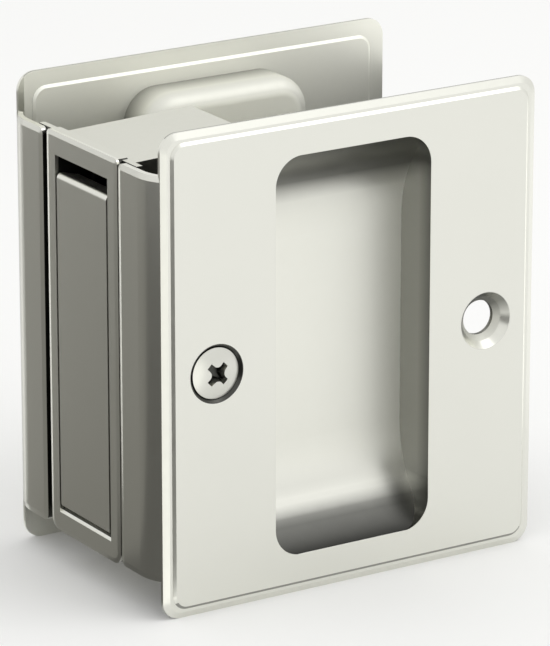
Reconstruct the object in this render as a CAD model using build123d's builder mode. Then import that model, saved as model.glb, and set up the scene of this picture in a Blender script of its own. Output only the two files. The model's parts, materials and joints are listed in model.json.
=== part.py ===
from build123d import *
import os
from math import radians, sqrt, tan

# Pocket door lock: two cupped plates, an edge case between them and a pull that swings out of the edge.
# X runs across the plates with the door's edge at -X, Y through the door with the front plate at -Y,
# Z is up. The origin is the middle of the footprint, and the plates stand on their lower edges.

# Plates
plate_height = 82.55
plate_width = 72.8
plate_wall = 1.5
plate_corner = 3.2
bevel_width = 1.1
bevel_drop = 0.5
door_thickness = 44.45
border_width = 1.6
border_inside = 2.7
field_raise = 0.4
field_corner = 2.6
field_slope = 0.5
field_slope_drop = 0.35

# Finger cup in each plate
cup_width = 30.3
cup_height = 68.8
cup_depth = 8.8
cup_corner = 5.0
cup_end_radius = 20.0
cup_wall = 1.2
bulge_round = 3.0

# Flange that each plate turns over the door's edge
edge_bulge = 1.5
flange_width = 9.95
flange_height = 69.0
flange_wall = 1.15
flange_sweep = 4.5
flange_shoulder = 0.15
flange_root = 1.0
flange_corner = 1.2
flange_bevel_width = 1.0
flange_bevel_drop = 0.22

# Countersunk holes
hole_radius = 3.0
sink_radius = 4.95
sink_angle = 82.0
hole_inset = 9.95
door_boss_radius = 5.6
door_boss_rise = 1.1
column_radius = 4.6

# Edge case
frame_width = 22.8
frame_height = 69.8
frame_wall = 2.35
frame_bevel_width = 0.8
frame_bevel_drop = 0.18
frame_top_corner = 0.9
frame_foot_corner = 2.2
front_seam = 0.25
slide_gap = 0.1
tongue_reach = 4.4
tongue_top_inset = 0.3
tongue_foot_inset = 2.7
block_front_outset = 1.4
block_back_inset = 1.75
block_depth = 24.5
block_inset = 0.6
block_rise = 0.9
block_round = 0.8

# Edge pull and its window
window_width = 17.0
window_height = 62.0
pull_side_gap = 0.5
pull_foot_gap = 0.65
finger_gap = 2.7
pull_thickness = 4.2
pull_top_fall = 1.1
pull_lip_round = 1.0
pull_toe_round = 0.6
cavity_depth = 7.5

# Pivot pin
pin_radius = 0.8
pin_depth = 3.3
pin_rise = 8.0
pin_fit = 0.02
pin_running_gap = 0.05
pin_end_inset = 0.2

# Catch spring under the pull's heel
spring_wall = 0.4
spring_width = 9.0
spring_gap = 0.05
spring_seat = 2.0
spring_slot_gap = 0.03
sill_lip = 1.2
sill_drop = 1.6
sill_chamfer = 0.4
spring_front_gap = 0.25
heel_gap = 0.4

# Case screws
screw_radius = 2.4
screw_tip_chamfer = 0.5
screw_length = 20.0
screw_head_radius = 4.35
screw_land = 0.25
screw_dome = 0.85
screw_seat_gap = 0.05
thread_gap = 0.05
thread_run_out = 2.0
recess_span = 4.4
recess_arm = 1.2
recess_root = 0.9
recess_depth = 1.9
recess_taper = 12.0
recess_turn = 45.0

# Overlap used to join or cut cleanly
overlap = 0.6

# Planes and centres worked out from the sizes
inner_face = door_thickness / 2
border_face = inner_face + plate_wall
field_face = border_face + field_raise
border_back = inner_face + field_raise
overall_width = plate_width + edge_bulge
edge_x = -overall_width / 2
plate_left = edge_x + edge_bulge
plate_right = plate_left + plate_width
plate_middle_x = (plate_left + plate_right) / 2
middle_z = plate_height / 2
case_screw_x = plate_left + hole_inset
door_screw_x = plate_right - hole_inset
cup_floor = cup_depth - field_face
cup_flat = cup_height - 2 * sqrt(2 * cup_end_radius * cup_depth - cup_depth**2)

flange_free_edge = inner_face - flange_width
frame_front = -flange_free_edge + front_seam
frame_back = frame_front + frame_width
frame_y = (frame_front + frame_back) / 2
frame_foot = middle_z - frame_height / 2
frame_top = middle_z + frame_height / 2
wall_x = edge_x + frame_wall
block_front = frame_front - block_front_outset
block_back = frame_back - block_back_inset
block_rear = wall_x + block_depth

window_foot = middle_z - window_height / 2
window_top = middle_z + window_height / 2
pull_width = window_width - 2 * pull_side_gap
pull_foot = window_foot + pull_foot_gap
pull_top = window_top - finger_gap
pull_rear = edge_x + pull_thickness
pin_x = edge_x + pin_depth
pin_z = pull_foot + pin_rise
heel_round = pull_thickness - pin_depth
heel_pocket_x = pin_x + pin_rise + heel_gap
heel_pocket_top = pin_z + heel_round + heel_gap
spring_top = pull_foot - spring_gap
spring_foot = spring_top - spring_wall
sill_floor = window_foot - sill_drop

OVER = Location((0, 0, plate_height), (180, 0, 0))

# Space of the finger cup: flat floor, arc-swept ends and rounded plan corners
with BuildPart() as cup_space:
    with BuildSketch(Plane.YZ.offset(plate_middle_x - cup_width / 2)):
        with BuildLine():
            floor_line = Line((cup_floor, middle_z - cup_flat / 2), (cup_floor, middle_z + cup_flat / 2))
            head_arc = RadiusArc(floor_line @ 1, (-field_face, middle_z + cup_height / 2), -cup_end_radius)
            foot_arc = RadiusArc((-field_face, middle_z - cup_height / 2), floor_line @ 0, -cup_end_radius)
            Line(head_arc @ 1, foot_arc @ 0)
        make_face()
    extrude(amount=cup_width)
    with BuildSketch(Plane.XZ.offset(-cup_floor)):
        with Locations((plate_middle_x, middle_z)):
            RectangleRounded(cup_width, cup_height, cup_corner)
    extrude(amount=cup_depth, mode=Mode.INTERSECT)

# Back of the cup: a block with rounded edges
with BuildPart() as cup_bulge:
    bulge_face = cup_floor + cup_wall
    with BuildSketch(Plane.XZ.offset(-bulge_face)):
        with Locations((plate_middle_x, middle_z)):
            RectangleRounded(cup_width + 2 * cup_wall, cup_height + 2 * cup_wall, cup_corner + cup_wall)
    extrude(amount=inner_face + bulge_face + overlap)
    fillet(cup_bulge.faces().sort_by(Axis.Y)[-1].edges(), bulge_round)

# Pad of the field that rests on the door, with sloping edges
with BuildPart() as door_pad:
    with BuildSketch(Plane.XZ.offset(inner_face)):
        with Locations((plate_middle_x, middle_z)):
            RectangleRounded(plate_width - 2 * border_inside, plate_height - 2 * border_inside, field_corner)
    extrude(amount=field_raise + overlap)
    seat = door_pad.faces().sort_by(Axis.Y)[-1]
    chamfer(seat.edges(), field_slope, field_slope_drop, reference=seat)

# Front plate
with BuildPart() as front_plate:
    # Flange: flat beside the case, then a curved sweep down to the plate's edge
    with BuildSketch(Plane.XY.offset(middle_z - flange_height / 2)):
        with BuildLine():
            sweep_end = -border_face + bevel_drop + flange_shoulder
            sweep_y = sweep_end + flange_sweep
            root_x = plate_left + flange_root
            inside_x = edge_x + flange_wall
            TangentArc((edge_x, sweep_y), (plate_left, sweep_end), tangent=(0, -1))
            TangentArc((inside_x, sweep_y), (root_x, -border_back), tangent=(0, -1))
            Polyline(
                (edge_x, sweep_y),
                (edge_x, -flange_free_edge),
                (inside_x, -flange_free_edge),
                (inside_x, sweep_y),
            )
            Polyline((plate_left, sweep_end), (root_x, sweep_end), (root_x, -border_back))
        make_face()
    extrude(amount=flange_height)
    free_ends = front_plate.edges().filter_by(Axis.X).group_by(Axis.Y)[-1]
    fillet(free_ends, flange_corner)
    edge_face = front_plate.faces().sort_by(Axis.X)[0]
    free_edge = edge_face.edges().group_by(Axis.Y)[-1]
    chamfer(free_edge, flange_bevel_width, flange_bevel_drop, reference=edge_face)

    # Bevelled border, and the field raised on both its sides
    with BuildSketch(Plane.XZ.offset(border_back)):
        with Locations((plate_middle_x, middle_z)):
            RectangleRounded(plate_width, plate_height, plate_corner)
    extrude(amount=border_face - border_back)
    border = front_plate.faces().filter_by(Axis.Y).sort_by(Axis.Y)[0]
    chamfer(border.outer_wire().edges(), bevel_width, bevel_drop, reference=border)
    with BuildSketch(Plane.XZ.offset(border_face)):
        with Locations((plate_middle_x, middle_z)):
            RectangleRounded(plate_width - 2 * border_width, plate_height - 2 * border_width, field_corner)
    extrude(amount=field_raise)
    field = front_plate.faces().filter_by(Axis.Y).sort_by(Axis.Y)[0]
    chamfer(field.outer_wire().edges(), field_slope, field_slope_drop, reference=field)
    add(door_pad.part)

    # Back of the cup, the column that meets the case and the boss of the door screw
    add(cup_bulge.part)
    with BuildSketch(Plane.XZ.offset(-block_front)):
        with Locations((case_screw_x, middle_z)):
            Circle(column_radius)
    extrude(amount=inner_face + block_front + overlap)
    with BuildSketch(Plane.XZ.offset(inner_face - door_boss_rise)):
        with Locations((door_screw_x, middle_z)):
            Circle(door_boss_radius)
    extrude(amount=door_boss_rise + overlap)

    # Cup and the two countersunk holes
    add(cup_space.part, mode=Mode.SUBTRACT)
    for hole_x in (case_screw_x, door_screw_x):
        with Locations(Plane((hole_x, -field_face, middle_z), x_dir=(1, 0, 0), z_dir=(0, -1, 0))):
            CounterSinkHole(hole_radius, sink_radius, depth=field_face, counter_sink_angle=sink_angle)
front_plate.part.label = "front_plate"

# Back plate: the same casting turned over
with BuildPart() as back_plate:
    with Locations(OVER):
        add(front_plate.part)
back_plate.part.label = "back_plate"

# Edge case
with BuildPart() as edge_case:
    # Framed face of the edge, rounded at its corners and bevelled along its rim
    with BuildSketch(Plane.YZ.offset(edge_x)) as frame_outline:
        with Locations((frame_y, middle_z)):
            Rectangle(frame_width, frame_height)
        fillet(frame_outline.vertices().group_by(Axis.Y)[0], frame_foot_corner)
        fillet(frame_outline.vertices().group_by(Axis.Y)[-1], frame_top_corner)
    extrude(amount=frame_wall)
    frame_face = edge_case.faces().sort_by(Axis.X)[0]
    chamfer(frame_face.edges(), frame_bevel_width, frame_bevel_drop, reference=frame_face)

    # Tongues that the plates' flanges slide over
    tongue_foot = frame_foot + tongue_foot_inset
    tongue_height = frame_top - tongue_top_inset - tongue_foot
    tongue_x = edge_x + flange_wall + slide_gap
    with BuildSketch(Plane.YZ.offset(tongue_x)):
        with Locations((frame_y, tongue_foot + tongue_height / 2)):
            Rectangle(frame_width + 2 * tongue_reach, tongue_height)
    extrude(amount=wall_x - tongue_x)

    # Housing block, its top rising a little towards the rear
    block_foot = frame_foot + block_inset
    block_top = frame_top - block_inset
    with BuildSketch(Plane.XZ.offset(-block_front)):
        with BuildLine():
            Polyline(
                (wall_x - overlap, block_foot),
                (block_rear, block_foot),
                (block_rear, block_top + block_rise),
                (wall_x - overlap, block_top),
                close=True,
            )
        make_face()
    extrude(amount=-(block_back - block_front))
    rear_corners = edge_case.edges().filter_by(Axis.Z).group_by(Axis.X)[-1]
    fillet(rear_corners, block_round)

    # Window with a bevelled sill, and the cavity behind it, deeper where the heel swings in
    with BuildSketch(Plane.YZ.offset(edge_x)):
        with Locations((frame_y, middle_z)):
            Rectangle(window_width, window_height)
    extrude(amount=cavity_depth, mode=Mode.SUBTRACT)
    window_rim = edge_case.faces().sort_by(Axis.X)[0].inner_wires()[0]
    chamfer(window_rim.edges().sort_by(Axis.Z)[0], sill_chamfer)
    with BuildSketch(Plane.YZ.offset(edge_x + sill_lip)):
        with Locations((frame_y, (sill_floor + heel_pocket_top) / 2)):
            Rectangle(window_width, heel_pocket_top - sill_floor)
    extrude(amount=heel_pocket_x - edge_x - sill_lip, mode=Mode.SUBTRACT)

    # Slot that grips the catch spring
    with BuildSketch(Plane.YZ.offset(heel_pocket_x)):
        with Locations((frame_y, (spring_foot + spring_top) / 2)):
            Rectangle(spring_width + 2 * spring_slot_gap, spring_wall + 2 * spring_slot_gap)
    extrude(amount=spring_seat, mode=Mode.SUBTRACT)

    # Pivot hole through both side walls, and the threaded holes of the case screws
    with BuildSketch(Plane.XZ.offset(-block_front)):
        with Locations((pin_x, pin_z)):
            Circle(pin_radius + pin_fit)
    extrude(amount=-(block_back - block_front), mode=Mode.SUBTRACT)
    thread_end = field_face - screw_length - thread_run_out
    with BuildSketch(Plane.XZ.offset(thread_end)):
        with Locations((case_screw_x, middle_z)):
            Circle(screw_radius + thread_gap)
    extrude(amount=-block_front - thread_end, mode=Mode.SUBTRACT)
    with BuildSketch(Plane.XZ.offset(-thread_end)):
        with Locations((case_screw_x, middle_z)):
            Circle(screw_radius + thread_gap)
    extrude(amount=-(block_back - thread_end), mode=Mode.SUBTRACT)
edge_case.part.label = "edge_case"

# Edge pull: a bar with a sloping top, a rounded toe and a heel that clears the pocket
pull_front = frame_y - pull_width / 2
with BuildPart() as edge_pull:
    with BuildSketch(Plane.XZ.offset(-pull_front)) as pull_profile:
        with BuildLine():
            Polyline(
                (edge_x, pull_foot),
                (pull_rear, pull_foot),
                (pull_rear, pull_top - pull_top_fall),
                (edge_x, pull_top),
                close=True,
            )
        make_face()
        foot_points = pull_profile.vertices().group_by(Axis.Y)[0].sort_by(Axis.X)
        fillet(foot_points[0], pull_toe_round)
        fillet(foot_points[1], heel_round)
        fillet(pull_profile.vertices().sort_by(Axis.Y)[-1], pull_lip_round)
    extrude(amount=-pull_width)
    with BuildSketch(Plane.XZ.offset(-pull_front)):
        with Locations((pin_x, pin_z)):
            Circle(pin_radius + pin_running_gap)
    extrude(amount=-pull_width, mode=Mode.SUBTRACT)
edge_pull.part.label = "edge_pull"

# Pivot pin
with BuildPart() as pivot_pin:
    with BuildSketch(Plane.XZ.offset(-block_front - pin_end_inset)):
        with Locations((pin_x, pin_z)):
            Circle(pin_radius)
    extrude(amount=-(block_back - block_front - 2 * pin_end_inset))
pivot_pin.part.label = "pull_pivot_pin"

# Catch spring: a flat strip gripped at its rear end, bearing on the heel in front of the pin
with BuildPart() as catch_spring:
    spring_front = edge_x + sill_lip + spring_front_gap
    spring_rear = heel_pocket_x + spring_seat - spring_slot_gap
    with BuildSketch(Plane.XY.offset(spring_foot)):
        with Locations(((spring_front + spring_rear) / 2, frame_y)):
            Rectangle(spring_rear - spring_front, spring_width)
    extrude(amount=spring_wall)
catch_spring.part.label = "pull_catch_spring"

# Front case screw: oval head on a short land, cross recess with rounded roots that narrows as it goes in
head_angle = radians(sink_angle / 2)
land_foot = -field_face + (sink_radius - screw_head_radius) / tan(head_angle) - screw_seat_gap
head_foot = land_foot + (screw_head_radius - screw_radius) / tan(head_angle)
head_top = land_foot - screw_land - screw_dome
dome_radius = (screw_head_radius**2 + screw_dome**2) / (2 * screw_dome)
screw_tip = -field_face + screw_length
with BuildPart() as front_screw:
    with BuildSketch(Plane((case_screw_x, 0, middle_z))):
        with BuildLine():
            Polyline(
                (0, head_top),
                (screw_head_radius, head_top),
                (screw_head_radius, land_foot),
                (screw_radius, head_foot),
                (0, head_foot),
                close=True,
            )
        make_face()
    revolve(axis=Axis((case_screw_x, 0, middle_z), (0, 1, 0)))
    with Locations((case_screw_x, head_top + dome_radius, middle_z)):
        Sphere(dome_radius, mode=Mode.INTERSECT)
    with BuildSketch(Plane((case_screw_x, screw_tip, middle_z), x_dir=(1, 0, 0), z_dir=(0, -1, 0))):
        Circle(screw_radius)
    extrude(amount=screw_tip - head_foot + overlap)
    chamfer(front_screw.edges().sort_by(Axis.Y)[-1], screw_tip_chamfer)
    with BuildSketch(Plane((case_screw_x, head_top, middle_z), x_dir=(1, 0, 0), z_dir=(0, 1, 0))) as recess:
        Rectangle(recess_span, recess_arm, rotation=recess_turn)
        Rectangle(recess_span, recess_arm, rotation=-recess_turn)
        fillet(recess.vertices().sort_by_distance((0, 0, 0))[:4], recess_root)
    extrude(amount=recess_depth, taper=recess_taper, mode=Mode.SUBTRACT)
front_screw.part.label = "front_case_screw"

# Back case screw: the same screw turned over
with BuildPart() as back_screw:
    with Locations(OVER):
        add(front_screw.part)
back_screw.part.label = "back_case_screw"

os.makedirs("parts", exist_ok=True)
export_step(front_plate.part, "parts/front_plate.step")
export_step(back_plate.part, "parts/back_plate.step")
export_step(edge_case.part, "parts/edge_case.step")
export_step(edge_pull.part, "parts/edge_pull.step")
export_step(pivot_pin.part, "parts/pull_pivot_pin.step")
export_step(catch_spring.part, "parts/pull_catch_spring.step")
export_step(front_screw.part, "parts/front_case_screw.step")
export_step(back_screw.part, "parts/back_case_screw.step")
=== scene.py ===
import json
import math

import bpy
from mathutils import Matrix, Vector

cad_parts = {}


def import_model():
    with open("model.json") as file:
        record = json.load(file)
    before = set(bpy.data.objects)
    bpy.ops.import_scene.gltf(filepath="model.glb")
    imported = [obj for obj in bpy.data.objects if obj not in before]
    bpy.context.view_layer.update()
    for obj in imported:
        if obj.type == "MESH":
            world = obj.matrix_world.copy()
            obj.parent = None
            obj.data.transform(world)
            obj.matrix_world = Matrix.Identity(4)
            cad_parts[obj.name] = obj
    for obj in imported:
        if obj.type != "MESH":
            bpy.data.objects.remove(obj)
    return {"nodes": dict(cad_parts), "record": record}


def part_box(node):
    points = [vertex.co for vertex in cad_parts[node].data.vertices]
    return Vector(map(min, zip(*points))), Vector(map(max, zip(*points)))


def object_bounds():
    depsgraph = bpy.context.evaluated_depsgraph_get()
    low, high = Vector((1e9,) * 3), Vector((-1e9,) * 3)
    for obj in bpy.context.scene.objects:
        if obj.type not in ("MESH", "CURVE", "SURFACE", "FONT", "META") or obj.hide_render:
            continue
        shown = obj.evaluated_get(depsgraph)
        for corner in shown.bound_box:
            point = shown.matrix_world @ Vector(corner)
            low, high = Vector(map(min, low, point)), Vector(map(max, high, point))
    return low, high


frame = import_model()
cad_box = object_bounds()
nodes = frame["nodes"]
mounts = {mount["name"]: Vector(mount["pos_m"]) for mount in frame["record"]["mounts"]}
plate_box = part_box("back_plate")
screw_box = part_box("front_case_screw")

# Camera at the photograph's viewing angle, in degrees, metres and pixels
CAMERA_YAW = 32.27
CAMERA_PITCH = 17.82
CAMERA_DISTANCE = 0.8032
CAMERA_TARGET = Vector((0.00067, 0.0, 0.03886))
FOCAL_PIXELS = 4748.0
IMAGE_HEIGHT = 646
SENSOR_SIZE = 36.0

# Places read from the frame, in metres. A depth is a distance from Y = 0, the same on both plates.
EDGE_X = cad_box[0][0]
OPEN_X = cad_box[1][0]
FRONT_Y = cad_box[0][1]
BACK_Y = cad_box[1][1]
PLATE_MIDDLE_X = mounts["door_seat_front"].x
PLATE_MIDDLE_Z = mounts["door_screw_front"].z
DOOR_SCREW_X = mounts["door_screw_front"].x
CASE_SCREW_X = (screw_box[0][0] + screw_box[1][0]) / 2
DOOR_FACE_DEPTH = mounts["door_seat_back"].y
PLATE_FACE_DEPTH = plate_box[1][1]
FLANGE_END_DEPTH = plate_box[0][1]

# Sizes on the pieces, in metres. A skin is how far a mask for painted light and shade, and for extra
# roughness, reaches past the surface that it is meant for.
SKIN = 0.0001
FIELD_RAISE = 0.0004
CUP_HALF_WIDTH = 0.01515
CUP_HALF_HEIGHT = 0.0344
CUP_CORNER = 0.005
CUP_DEPTH = 0.0088
FLANGE_REACH = 0.00265
FLANGE_SWEEP = 0.0045
SINK_RADIUS = 0.00495
RECESS_RADIUS = 0.0022
CASE_GROOVE = 0.00065

# Where painted light and shade, and the extra roughness, fade, in metres: heights from the plates' middle,
# the recess from the top of a screw, and the shelter of the front flange from the edge
CUP_LIP_EDGE = 0.000075
CUP_LIP_BAND = 0.0035
CUP_RAMP_HEIGHT = -0.0261
CUP_FOOT_HEIGHT = -0.0308
INNER_RIM_BAND = 0.000675
INNER_EDGE_HEIGHT = 0.04
INNER_FIELD_HEIGHT = 0.031
INNER_MIDDLE_HEIGHT = 0.0172
BULGE_FOOT_BAND = 0.005
FLANGE_END_BAND = 0.000225
RECESS_START = 0.0008
RECESS_END = 0.0013
SHELTER_START = 0.00665
SHELTER_END = 0.01115

# Depths at which the plates' surfaces change
CUP_LIP = PLATE_FACE_DEPTH - CUP_LIP_EDGE
CUP_FLOOR = PLATE_FACE_DEPTH - CUP_DEPTH - SKIN
FIELD_STEP = PLATE_FACE_DEPTH - FIELD_RAISE - SKIN
INNER_SIDE = DOOR_FACE_DEPTH + INNER_RIM_BAND
BULGE_FOOT = DOOR_FACE_DEPTH - SKIN
SWEEP_START = DOOR_FACE_DEPTH - FLANGE_SWEEP
FLANGE_END = FLANGE_END_DEPTH + FLANGE_END_BAND

# Parts of a surface's normal, from where painted light and shade, and extra roughness, are absent to where
# they are full
FLAT_FACING = (0.93, 0.985)
STEEP_FACING = (0.95, 0.86)
UPRIGHT_FACING = (0.7, 0.2)
SIDEWAYS_NORMAL = (0.2, 0.6)
UPWARD_NORMAL = (0.5, 0.65)
SHADED_NORMAL = (0.1, -0.5)
BACKWARD_NORMAL = (0.02, 0.25)

# Parts of a surface's normal, as plain limits, and a shift for the walls that face up
STEP_FACING = 0.8
STEP_SPREAD = 0.08
STEP_DOWNWARD = -0.3
END_FACING = 0.7
FACE_NORMAL = 0.5
UPWARD_SHIFT = 0.06

# Finishes: a linear colour, the share of it that the darkest clouds keep, a range of roughness,
# and a relief in metres
NICKEL = (0.783, 0.783, 0.726)
SCREW_NICKEL = (0.706, 0.706, 0.655)
STEEL = (0.42, 0.42, 0.41)
FINISHES = {
    "polished_nickel": {"colour": NICKEL, "clouding": 0.985, "roughness": (0.28, 0.31), "relief": 1e-6},
    "case_nickel": {"colour": NICKEL, "clouding": 0.98, "roughness": (0.28, 0.32), "relief": 1e-6},
    "pull_nickel": {"colour": NICKEL, "clouding": 0.98, "roughness": (0.28, 0.32), "relief": 1e-6},
    "screw_nickel": {"colour": SCREW_NICKEL, "clouding": 0.96, "roughness": (0.28, 0.32), "relief": 2e-6},
    "plain_steel": {"colour": STEEL, "clouding": 0.85, "roughness": (0.35, 0.5), "relief": 4e-6},
}
CLOUD_SCALE = 45.0
CLOUD_DETAIL = 3.0
GRAIN_SCALE = 700.0
GRAIN_DETAIL = 2.0
NOISE_RANGE = (0.3, 0.7)
RELIEF_STRENGTH = 0.1

# Factors on the colour: painted shade where under one, painted light where over one
CUP_WALL_PAINTED_SHADE = 0.34
CUP_FOOT_PAINTED_SHADE = 0.35
CUP_LIP_PAINTED_SHADE = 0.45
CUP_FLOOR_PAINTED_LIGHT = 1.1
BULGE_FOOT_PAINTED_SHADE = 0.42
BULGE_PAINTED_LIGHT = 1.2
INNER_MIDDLE_PAINTED_SHADE = 0.58
INNER_EDGE_PAINTED_LIGHT = 1.25
STEP_PAINTED_SHADE = 0.4
HOLE_PAINTED_SHADE = 0.32
SWEEP_PAINTED_SHADE = 0.6
CREVICE_PAINTED_SHADE = 0.1
BLOCK_TOP_PAINTED_SHADE = 0.94

# Additions to the roughness
CUP_ROUGHENING = 0.2
INNER_ROUGHENING = 0.3
BLOCK_TOP_ROUGHENING = 0.35

# Floor and light, in metres and watts
FLOOR_SIZE = 8.0
FLOOR_COLOUR = (0.93, 0.93, 0.93)
WORLD_COLOUR = (1.0, 1.0, 0.985)
WORLD_STRENGTH = 0.95
KEY_DIRECTION = Vector((0.5, -0.56, 0.89))
KEY_DISTANCE = 0.8
KEY_SIZE = 0.5
KEY_POWER = 1.1

# Panels that stand round the object: angles from +X in degrees, places in metres, linear tones
PANEL_RADIUS = 0.16
PANEL_HEIGHT = 0.06
PANEL_STEPS = 24
FLAP_HEIGHT = 0.0008
OPENING_GAP = 0.00335
CURVED_PANELS = {
    "bright_left_back": {"angles": (104, 116), "flap_y": (BACK_Y,), "tone": (1.6, 1.6, 1.55)},
    "dark_left_back": {"angles": (118, 165), "flap_y": (BACK_Y, 0.0), "tone": (0.22, 0.216, 0.198)},
    "dark_left_front": {"angles": (165, 236), "flap_y": (0.0, FRONT_Y), "tone": (0.11, 0.108, 0.1)},
    "bright_left_front": {"angles": (240, 264), "flap_y": (FRONT_Y,), "tone": (1.45, 1.45, 1.4)},
}
FLAT_PANELS = {
    "dark_opening": {
        "x": OPEN_X + OPENING_GAP,
        "y_range": (-0.021, DOOR_FACE_DEPTH),
        "height": 0.073,
        "tone": (0.22, 0.22, 0.21),
    },
    "bright_right": {
        "x": 0.1,
        "y_range": (-0.022, 0.022),
        "height": PANEL_HEIGHT,
        "tone": (1.7, 1.7, 1.65),
    },
}


def link(tree, source, target):
    """Joins an output socket, or sets a plain number, at an input socket."""
    if isinstance(source, (int, float)):
        target.default_value = source
    else:
        tree.links.new(source, target)


def maths(tree, operation, first, second=0.0):
    """The result of a sum on one or two values."""
    node = tree.nodes.new("ShaderNodeMath")
    node.operation = operation
    link(tree, first, node.inputs[0])
    link(tree, second, node.inputs[1])
    return node.outputs["Value"]


def ranged(tree, value, start, end, low, high):
    """The value from start to end, spread from low to high."""
    spread = tree.nodes.new("ShaderNodeMapRange")
    spread.inputs["From Min"].default_value = start
    spread.inputs["From Max"].default_value = end
    spread.inputs["To Min"].default_value = low
    spread.inputs["To Max"].default_value = high
    tree.links.new(value, spread.inputs["Value"])
    return spread.outputs["Result"]


def fade(tree, value, absent, full):
    """Nothing where the value is at or before absent, one where it is at or past full."""
    return ranged(tree, value, absent, full, 0.0, 1.0)


def over(tree, value, limit):
    """One where the value is over the limit, else nothing."""
    return maths(tree, "GREATER_THAN", value, limit)


def under(tree, value, limit):
    """One where the value is under the limit, else nothing."""
    return maths(tree, "LESS_THAN", value, limit)


def away(tree, value, middle):
    """How far the value is from the middle."""
    return maths(tree, "ABSOLUTE", maths(tree, "SUBTRACT", value, middle))


def near(tree, value, middle, spread):
    """One where the value is within a spread of the middle, else nothing."""
    return under(tree, away(tree, value, middle), spread)


def beyond(tree, value, middle, half):
    """How far the value is past half a width to either side of the middle, at least nothing."""
    return maths(tree, "MAXIMUM", maths(tree, "SUBTRACT", away(tree, value, middle), half), 0.0)


def within(tree, across, up, radius):
    """One where a point, given by its distances across and up, is within a radius."""
    across_squared = maths(tree, "MULTIPLY", across, across)
    up_squared = maths(tree, "MULTIPLY", up, up)
    return under(tree, maths(tree, "ADD", across_squared, up_squared), radius**2)


def all_of(tree, *masks):
    """One where every mask is one."""
    product = masks[0]
    for mask in masks[1:]:
        product = maths(tree, "MULTIPLY", product, mask)
    return product


def outside(tree, mask):
    """One where the mask is nothing."""
    return maths(tree, "SUBTRACT", 1.0, mask)


def axes(tree, output):
    """The X, Y and Z of a coordinate of the piece, such as its place or its normal."""
    coordinates = tree.nodes.new("ShaderNodeTexCoord")
    split = tree.nodes.new("ShaderNodeSeparateXYZ")
    tree.links.new(coordinates.outputs[output], split.inputs["Vector"])
    return split.outputs["X"], split.outputs["Y"], split.outputs["Z"]


def noise(tree, scale, detail):
    """A noise in the piece's own coordinates."""
    coordinates = tree.nodes.new("ShaderNodeTexCoord")
    texture = tree.nodes.new("ShaderNodeTexNoise")
    texture.inputs["Scale"].default_value = scale
    texture.inputs["Detail"].default_value = detail
    tree.links.new(coordinates.outputs["Object"], texture.inputs["Vector"])
    return texture.outputs["Fac"]


class Surface:
    """The place and the normal of each point of a piece, as values in its material's tree."""

    def __init__(self, material):
        self.tree = material.node_tree
        self.x, self.y, self.z = axes(self.tree, "Object")
        self.normal_x, self.normal_y, self.normal_z = axes(self.tree, "Normal")
        self.depth = maths(self.tree, "ABSOLUTE", self.y)
        self.height = maths(self.tree, "SUBTRACT", self.z, PLATE_MIDDLE_Z)
        self.facing = maths(self.tree, "ABSOLUTE", self.normal_y)


def metal(name):
    """Metal with a clouded tone, varied roughness and a faint relief."""
    finish = FINISHES[name]
    colour = finish["colour"]
    material = bpy.data.materials.new(name)
    material.use_nodes = True
    tree = material.node_tree
    shader = tree.nodes["Principled BSDF"]
    shader.inputs["Metallic"].default_value = 1.0

    clouds = noise(tree, CLOUD_SCALE, CLOUD_DETAIL)
    tone = tree.nodes.new("ShaderNodeMix")
    tone.data_type = "RGBA"
    tone.inputs["A"].default_value = (*[part * finish["clouding"] for part in colour], 1.0)
    tone.inputs["B"].default_value = (*colour, 1.0)
    tree.links.new(fade(tree, clouds, *NOISE_RANGE), tone.inputs["Factor"])
    tree.links.new(tone.outputs["Result"], shader.inputs["Base Color"])

    grain = noise(tree, GRAIN_SCALE, GRAIN_DETAIL)
    roughness = ranged(tree, grain, *NOISE_RANGE, *finish["roughness"])
    tree.links.new(roughness, shader.inputs["Roughness"])
    bump = tree.nodes.new("ShaderNodeBump")
    bump.inputs["Strength"].default_value = RELIEF_STRENGTH
    bump.inputs["Distance"].default_value = finish["relief"]
    tree.links.new(grain, bump.inputs["Height"])
    tree.links.new(bump.outputs["Normal"], shader.inputs["Normal"])
    return material


def shade(material, mask, factor):
    """Multiplies a material's colour by a factor where the mask is one: painted shade under one, painted
    light over one.
    """
    tree = material.node_tree
    shader = tree.nodes["Principled BSDF"]
    colour = shader.inputs["Base Color"].links[0].from_socket
    shaded = tree.nodes.new("ShaderNodeMix")
    shaded.data_type = "RGBA"
    shaded.blend_type = "MULTIPLY"
    shaded.inputs["B"].default_value = (factor, factor, factor, 1.0)
    tree.links.new(mask, shaded.inputs["Factor"])
    tree.links.new(colour, shaded.inputs["A"])
    tree.links.new(shaded.outputs["Result"], shader.inputs["Base Color"])


def roughen(material, mask, amount):
    """Adds to a material's roughness where the mask is one."""
    tree = material.node_tree
    shader = tree.nodes["Principled BSDF"]
    roughness = shader.inputs["Roughness"].links[0].from_socket
    more = maths(tree, "MULTIPLY", mask, amount)
    tree.links.new(maths(tree, "ADD", roughness, more), shader.inputs["Roughness"])


def round_mask(surface, centre_x, radius):
    """One within a radius of a hole or screw, all of which are at the plates' middle height."""
    across = away(surface.tree, surface.x, centre_x)
    return within(surface.tree, across, surface.height, radius)


def cup_mask(surface):
    """One within the cup's rounded outline, between its floor and its lip."""
    tree = surface.tree
    past_x = beyond(tree, surface.x, PLATE_MIDDLE_X, CUP_HALF_WIDTH - CUP_CORNER)
    past_z = beyond(tree, surface.z, PLATE_MIDDLE_Z, CUP_HALF_HEIGHT - CUP_CORNER)
    outline = within(tree, past_x, past_z, CUP_CORNER + SKIN)
    above_floor = over(tree, surface.depth, CUP_FLOOR)
    below_lip = under(tree, surface.depth, CUP_LIP)
    return all_of(tree, outline, above_floor, below_lip)


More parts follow.
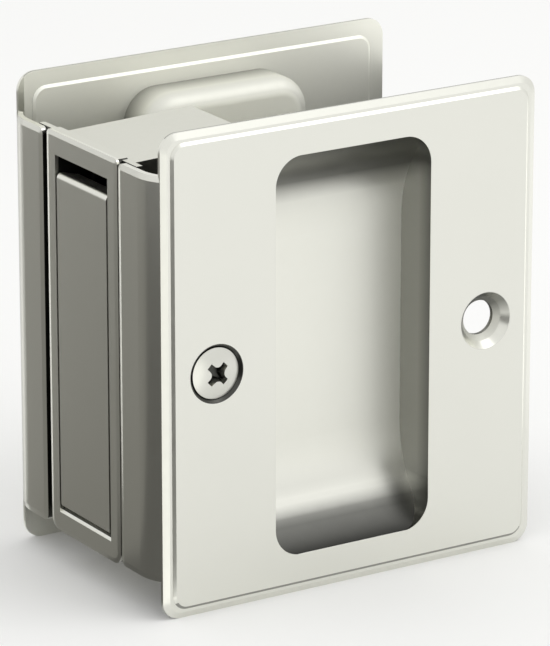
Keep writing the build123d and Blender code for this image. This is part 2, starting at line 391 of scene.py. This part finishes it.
def roughen_cup_and_paint_light_and_shade(material, surface, in_cup):
    """A rougher floor with painted light, and painted shade on the walls, darkest by the lip and at the foot
    but not in its corners.
    """
    tree = surface.tree
    # The cup's floor is rougher, and painted light brightens it
    cup_floor = all_of(tree, in_cup, fade(tree, surface.facing, *FLAT_FACING))
    roughen(material, cup_floor, CUP_ROUGHENING)
    shade(material, cup_floor, CUP_FLOOR_PAINTED_LIGHT)

    shift = maths(tree, "MULTIPLY", over(tree, surface.normal_z, 0.0), UPWARD_SHIFT)
    steep = fade(tree, maths(tree, "ADD", surface.facing, shift), *STEEP_FACING)
    sideways = fade(tree, maths(tree, "ABSOLUTE", surface.normal_x), *SIDEWAYS_NORMAL)
    low = fade(tree, surface.height, CUP_RAMP_HEIGHT, CUP_FOOT_HEIGHT)
    off_corner = outside(tree, all_of(tree, sideways, low))
    # Painted shade on the cup's steep walls, except in its low corners
    shade(material, all_of(tree, in_cup, steep, off_corner), CUP_WALL_PAINTED_SHADE)

    # Painted shade in the cup towards its lip
    by_lip = fade(tree, surface.depth, CUP_LIP - CUP_LIP_BAND, CUP_LIP)
    shade(material, all_of(tree, in_cup, by_lip), CUP_LIP_PAINTED_SHADE)
    # Painted shade on the up-facing ramp at the cup's foot
    upward = fade(tree, surface.normal_z, *UPWARD_NORMAL)
    shade(material, all_of(tree, in_cup, upward), CUP_FOOT_PAINTED_SHADE)


def roughen_inner_side_and_paint_light_and_shade(material, surface, in_cup):
    """The side towards the door: rougher, with painted light at its top and on the bulge's face, and painted
    shade in its middle and round the bulge.

    The bulge is the back of the cup.
    """
    tree = surface.tree
    inside = under(tree, surface.depth, INNER_SIDE)
    off_flange = over(tree, surface.x, EDGE_X + FLANGE_REACH)
    inner_side = all_of(tree, inside, off_flange, outside(tree, in_cup))
    roughen(material, inner_side, INNER_ROUGHENING)

    off_bulge = over(tree, surface.depth, BULGE_FOOT)
    # Painted light on the inner side towards its top edge, off the bulge
    edgeward = fade(tree, surface.height, INNER_FIELD_HEIGHT, INNER_EDGE_HEIGHT)
    shade(material, all_of(tree, inner_side, edgeward, off_bulge), INNER_EDGE_PAINTED_LIGHT)
    # Painted shade on the inner side's flat middle, off the bulge
    flat = fade(tree, surface.facing, *FLAT_FACING)
    from_middle = maths(tree, "ABSOLUTE", surface.height)
    middle = fade(tree, from_middle, INNER_FIELD_HEIGHT, INNER_MIDDLE_HEIGHT)
    shade(material, all_of(tree, inner_side, flat, middle, off_bulge), INNER_MIDDLE_PAINTED_SHADE)

    # Painted light on the bulge's flat face
    on_bulge = outside(tree, off_bulge)
    shade(material, all_of(tree, inner_side, on_bulge, flat), BULGE_PAINTED_LIGHT)
    # Painted shade on the bulge's upright walls by their foot
    upright = fade(tree, surface.facing, *UPRIGHT_FACING)
    by_foot = fade(tree, surface.depth, BULGE_FOOT - BULGE_FOOT_BAND, BULGE_FOOT)
    shade(material, all_of(tree, inner_side, upright, by_foot), BULGE_FOOT_PAINTED_SHADE)


def paint_shade_on_outer_side(material, surface):
    """Painted shade as a lower line on the field's step, and within the countersinks."""
    tree = surface.tree
    # Painted shade on the down-facing slopes of the raised field's step
    slope = near(tree, surface.facing, STEP_FACING, STEP_SPREAD)
    raised = over(tree, surface.depth, FIELD_STEP)
    downward = under(tree, surface.normal_z, STEP_DOWNWARD)
    shade(material, all_of(tree, slope, raised, downward), STEP_PAINTED_SHADE)

    # Painted shade where the door screw's countersink faces down
    door_sink = round_mask(surface, DOOR_SCREW_X, SINK_RADIUS + SKIN)
    shaded = fade(tree, surface.normal_z, *SHADED_NORMAL)
    shade(material, all_of(tree, door_sink, shaded), HOLE_PAINTED_SHADE)
    # Painted shade in the case screw's countersink, round the screw's head
    case_sink = round_mask(surface, CASE_SCREW_X, SINK_RADIUS + SKIN)
    shade(material, case_sink, CREVICE_PAINTED_SHADE)


def paint_shade_on_flange(material, surface):
    """Painted shade on its end by the case, and on its sweep on the back plate."""
    tree = surface.tree
    # Painted shade on the flange's end face in the gap by the case
    by_case = under(tree, surface.depth, FLANGE_END)
    end_face = over(tree, surface.facing, END_FACING)
    shade(material, all_of(tree, by_case, end_face), CREVICE_PAINTED_SHADE)

    # Painted shade on the back plate's flange sweep, where it faces back
    on_flange = under(tree, surface.x, EDGE_X + FLANGE_REACH)
    back_sweep = over(tree, surface.y, SWEEP_START)
    backward = fade(tree, surface.normal_y, *BACKWARD_NORMAL)
    shade(material, all_of(tree, on_flange, back_sweep, backward), SWEEP_PAINTED_SHADE)


def plate_metal():
    """Polished nickel of the plates, with painted light and shade in the cup, inside, outside and on the
    flange, and rougher in the cup and inside.
    """
    material = metal("polished_nickel")
    surface = Surface(material)
    in_cup = cup_mask(surface)
    roughen_cup_and_paint_light_and_shade(material, surface, in_cup)
    roughen_inner_side_and_paint_light_and_shade(material, surface, in_cup)
    paint_shade_on_outer_side(material, surface)
    paint_shade_on_flange(material, surface)
    return material


def case_metal():
    """Nickel of the case, with painted shade in its grooves, window and front side, and on the block's top,
    which is also rougher.
    """
    material = metal("case_nickel")
    surface = Surface(material)
    tree = surface.tree
    # Painted shade on faces that face out behind the edge, and on faces that face front by the front flange
    outward = under(tree, surface.normal_x, -FACE_NORMAL)
    frontward = under(tree, surface.normal_y, -FACE_NORMAL)
    upward = over(tree, surface.normal_z, FACE_NORMAL)
    behind = over(tree, surface.x, EDGE_X + CASE_GROOVE)
    by_flange = fade(tree, surface.x, EDGE_X + SHELTER_END, EDGE_X + SHELTER_START)
    sheltered = maths(tree, "MAXIMUM", outward, all_of(tree, frontward, by_flange))
    shade(material, all_of(tree, sheltered, behind), CREVICE_PAINTED_SHADE)

    # The block's top is rougher, with a faint painted shade
    block_top = all_of(tree, upward, behind)
    shade(material, block_top, BLOCK_TOP_PAINTED_SHADE)
    roughen(material, block_top, BLOCK_TOP_ROUGHENING)
    return material


def screw_metal():
    """Nickel-plated screw, with painted shade down in its recess."""
    material = metal("screw_nickel")
    surface = Surface(material)
    tree = surface.tree
    # Painted shade down in the case screw's recess
    sunk = fade(tree, surface.depth, BACK_Y - RECESS_START, BACK_Y - RECESS_END)
    in_recess = round_mask(surface, CASE_SCREW_X, RECESS_RADIUS + SKIN)
    shade(material, all_of(tree, sunk, in_recess), CREVICE_PAINTED_SHADE)
    return material


def dress(names, material):
    """Gives the CAD nodes the material."""
    for name in names:
        node_mesh = nodes[name].data
        node_mesh.materials.clear()
        node_mesh.materials.append(material)


dress(["front_plate", "back_plate"], plate_metal())
dress(["edge_case"], case_metal())
dress(["edge_pull"], metal("pull_nickel"))
dress(["front_case_screw", "back_case_screw"], screw_metal())
dress(["pull_pivot_pin", "pull_catch_spring"], metal("plain_steel"))


def stage_mesh(name, vertices, faces, material):
    """A stage object made of plain faces."""
    mesh = bpy.data.meshes.new(name)
    mesh.from_pydata(vertices, [], faces)
    mesh.materials.append(material)
    stage_object = bpy.data.objects.new(name, mesh)
    bpy.context.scene.collection.objects.link(stage_object)
    return stage_object


def floor():
    """A plain pale floor, square about the origin."""
    material = bpy.data.materials.new("floor")
    material.use_nodes = True
    shader = material.node_tree.nodes["Principled BSDF"]
    shader.inputs["Base Color"].default_value = (*FLOOR_COLOUR, 1.0)
    shader.inputs["Roughness"].default_value = 1.0
    shader.inputs["Specular IOR Level"].default_value = 0.0
    reach = FLOOR_SIZE / 2
    corners = [(-reach, -reach, 0), (reach, -reach, 0), (reach, reach, 0), (-reach, reach, 0)]
    stage_mesh("floor", corners, [(0, 1, 2, 3)], material)


def panel(name, vertices, faces, tone):
    """A studio panel, dark or bright, that only reflections see."""
    material = bpy.data.materials.new(name)
    material.use_nodes = True
    material.cycles.emission_sampling = "NONE"
    tree = material.node_tree
    tree.nodes.clear()
    emission = tree.nodes.new("ShaderNodeEmission")
    emission.inputs["Color"].default_value = (*tone, 1.0)
    output = tree.nodes.new("ShaderNodeOutputMaterial")
    tree.links.new(emission.outputs["Emission"], output.inputs["Surface"])
    sheet = stage_mesh(name, vertices, faces, material)
    sheet.visible_camera = False
    sheet.visible_diffuse = False
    sheet.visible_shadow = False
    sheet.visible_transmission = False


def arc(start, end, height):
    """Points round the upright axis at the panels' radius, by angles from +X in degrees."""
    angles = [math.radians(start + (end - start) * i / PANEL_STEPS) for i in range(PANEL_STEPS + 1)]
    return [(PANEL_RADIUS * math.cos(a), PANEL_RADIUS * math.sin(a), height) for a in angles]


def curved_panel(name, angles, flap_y, tone):
    """A low panel curved round the door's edge, with a flap by the floor from the edge out to it."""
    foot = arc(*angles, FLAP_HEIGHT)
    head = arc(*angles, PANEL_HEIGHT)
    flap = [(EDGE_X, y, FLAP_HEIGHT) for y in flap_y]
    count = len(foot)
    faces = [(i, i + 1, count + i + 1, count + i) for i in range(PANEL_STEPS)]
    flap_corners = range(2 * count, 2 * count + len(flap))
    faces.append((*reversed(flap_corners), *range(count)))
    panel(name, foot + head + flap, faces, tone)


def flat_panel(name, x, y_range, height, tone):
    """A flat panel that stands across X."""
    near_y, far_y = y_range
    corners = [(x, near_y, 0), (x, far_y, 0), (x, far_y, height), (x, near_y, height)]
    panel(name, corners, [(0, 1, 2, 3)], tone)


def world():
    """An even studio light from all round."""
    studio = bpy.data.worlds.new("studio")
    bpy.context.scene.world = studio
    studio.use_nodes = True
    background = studio.node_tree.nodes["Background"]
    background.inputs["Color"].default_value = (*WORLD_COLOUR, 1.0)
    background.inputs["Strength"].default_value = WORLD_STRENGTH


def key_light():
    """A square soft lamp that faces the object."""
    lamp = bpy.data.lights.new("key", "AREA")
    lamp.shape = "SQUARE"
    lamp.size = KEY_SIZE
    lamp.energy = KEY_POWER
    lamp_object = bpy.data.objects.new("key", lamp)
    place = CAMERA_TARGET + KEY_DIRECTION.normalized() * KEY_DISTANCE
    lamp_object.location = place
    lamp_object.rotation_euler = (CAMERA_TARGET - place).to_track_quat("-Z", "Y").to_euler()
    bpy.context.scene.collection.objects.link(lamp_object)


def camera():
    """The camera at the photograph's viewing angle."""
    yaw = math.radians(CAMERA_YAW)
    pitch = math.radians(CAMERA_PITCH)
    level = math.cos(pitch)
    forward = Vector((math.sin(yaw) * level, math.cos(yaw) * level, -math.sin(pitch)))
    camera_data = bpy.data.cameras.new("camera")
    camera_data.sensor_width = SENSOR_SIZE
    camera_data.lens = FOCAL_PIXELS / IMAGE_HEIGHT * SENSOR_SIZE
    camera_object = bpy.data.objects.new("camera", camera_data)
    camera_object.location = CAMERA_TARGET - forward * CAMERA_DISTANCE
    camera_object.rotation_euler = forward.to_track_quat("-Z", "Y").to_euler()
    bpy.context.scene.collection.objects.link(camera_object)
    bpy.context.scene.camera = camera_object


floor()
for panel_name, values in CURVED_PANELS.items():
    curved_panel(panel_name, **values)
for panel_name, values in FLAT_PANELS.items():
    flat_panel(panel_name, **values)
world()
key_light()
camera()
bpy.context.scene.view_settings.view_transform = "Standard"
